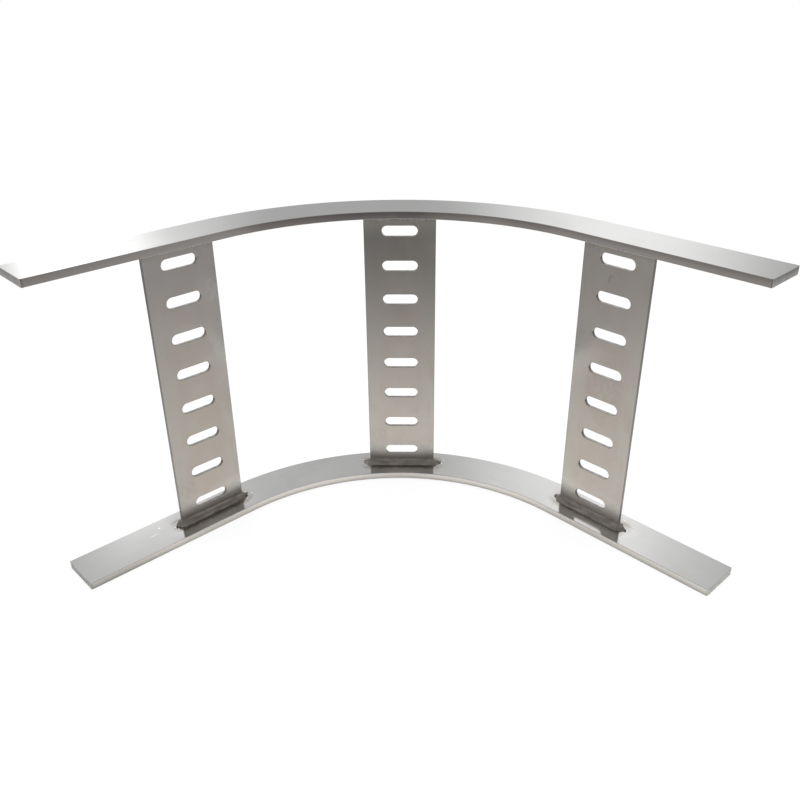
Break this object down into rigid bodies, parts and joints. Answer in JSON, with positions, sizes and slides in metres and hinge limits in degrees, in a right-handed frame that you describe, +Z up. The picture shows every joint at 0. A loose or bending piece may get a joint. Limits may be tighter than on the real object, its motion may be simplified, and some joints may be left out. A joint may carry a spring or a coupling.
{
  "type": "cable tray vertical bend",
  "caption": "Right-angle vertical bend for a stainless cable ladder: flat-bar side rails bent edgewise, joined by welded cross rungs with rows of slots for cable ties.",
  "frame": {"origin": "middle of the footprint, on the floor that the lower rail stands on", "axes": "+X across the bend from the left leg to the right leg, +Y from the hollow of the bend towards its apex, +Z up from the lower rail to the upper rail"},
  "size_m": [0.523, 0.1976, 0.252],
  "materials": {
    "rail_steel": "gloss",
    "rung_steel": "satin",
    "weld_steel": "satin"
  },
  "bodies": {
    "root": {"side_rail_lower": "rail_steel", "side_rail_upper": "rail_steel", "rung_left": "rung_steel", "rung_centre": "rung_steel", "rung_right": "rung_steel", "weld_left_lower": "weld_steel", "weld_left_upper": "weld_steel", "weld_centre_lower": "weld_steel", "weld_centre_upper": "weld_steel", "weld_right_lower": "weld_steel", "weld_right_upper": "weld_steel"}
  },
  "joints": []
}
